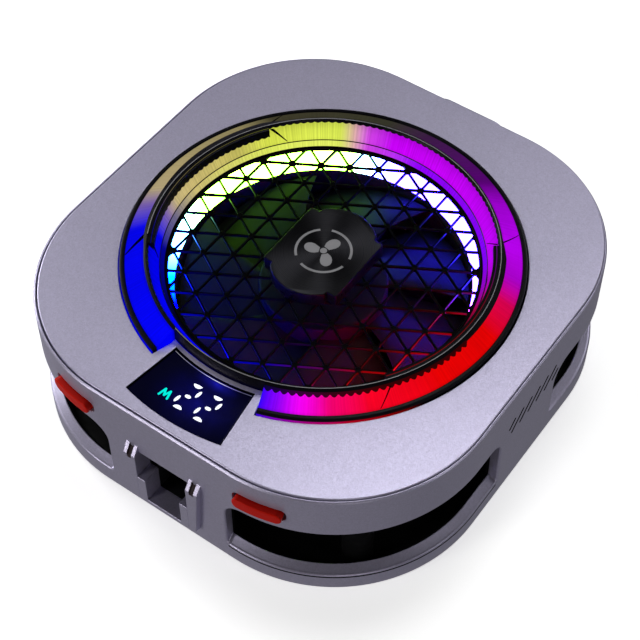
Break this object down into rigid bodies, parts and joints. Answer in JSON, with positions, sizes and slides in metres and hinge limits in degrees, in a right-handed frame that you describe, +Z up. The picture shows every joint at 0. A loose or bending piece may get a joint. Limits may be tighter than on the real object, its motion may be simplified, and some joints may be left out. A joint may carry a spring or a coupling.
{
  "type": "phone cooling fan",
  "caption": "Low square phone cooler with rounded corners: fan under a triangular grille, lit colour ring, power display, side buttons, clip socket and corner vents.",
  "frame": {"origin": "centre of the contact face under the cooler, on the fan's axis", "axes": "+Z up along the fan's axis, away from the phone; -Y towards the display and the clip socket; +X to the right face with the engraved strokes"},
  "size_m": [0.076, 0.085, 0.0265],
  "materials": {
    "silver_paint": "satin metallic paint",
    "gloss_black": "gloss",
    "spun_black": "spun",
    "inner_plastic": "matte",
    "diffuser": "frosted",
    "light": "lit",
    "blade": "satin",
    "red_button": "satin",
    "window": "gloss",
    "silicone": "matte",
    "foam": "matte",
    "lead": "matte",
    "bare_aluminium": "satin",
    "dark_aluminium": "anodised",
    "steel": "satin",
    "magnet": "plated",
    "sleeve": "satin",
    "winding": "enamelled",
    "ceramic": "matte",
    "board": "lacquered",
    "white_board": "lacquered"
  },
  "bodies": {
    "case": {"contact_pad": "silicone", "base_ring": "silicone", "base_cover": "silver_paint", "magnets": "magnet", "magnet_shield": "steel", "cold_plate": "bare_aluminium", "peltier_module": "ceramic", "insulation_frame": "foam", "peltier_leads": "lead", "heat_sink": "dark_aluminium", "sink_screws": "steel", "chassis": "inner_plastic", "case_screws": "steel", "motor_board": "board", "bearing_sleeve": "sleeve", "stator_core": "steel", "stator_coils": "winding", "control_board": "board", "left_switch": "inner_plastic", "right_switch": "inner_plastic", "usb_shell": "steel", "usb_tongue": "inner_plastic", "clip_pocket": "inner_plastic", "side_frame": "silver_paint", "ring_frame": "gloss_black", "ring_screws": "steel", "led_board": "white_board", "leds": "light", "outer_diffuser": "diffuser", "ring_spine": "gloss_black", "inner_diffuser": "diffuser", "left_ring_cap": "gloss_black", "right_ring_cap": "gloss_black", "duct_diffuser": "light", "grille": "gloss_black", "hub_badge": "spun_black", "display_module": "inner_plastic", "display_window": "window", "top_cover": "silver_paint"},
    "fan": {"fan_rotor": "blade", "rotor_yoke": "steel", "rotor_magnet": "magnet", "motor_shaft": "steel"},
    "button_left": {"left_button": "red_button"},
    "button_right": {"right_button": "red_button"}
  },
  "joints": [
    {"name": "fan_spin", "type": "hinge", "parent": "case", "child": "fan", "pos_m": [0, 0, 0.015], "axis": [0, 0, 1], "continuous": true},
    {"name": "left_button_press", "type": "slide", "parent": "case", "child": "button_left", "axis": [0.1822, 0.9833, 0], "range_m": [0, 0.0004], "stiffness_N_per_m": 1500},
    {"name": "right_button_press", "type": "slide", "parent": "case", "child": "button_right", "axis": [-0.1822, 0.9833, 0], "range_m": [0, 0.0004], "stiffness_N_per_m": 1500}
  ]
}
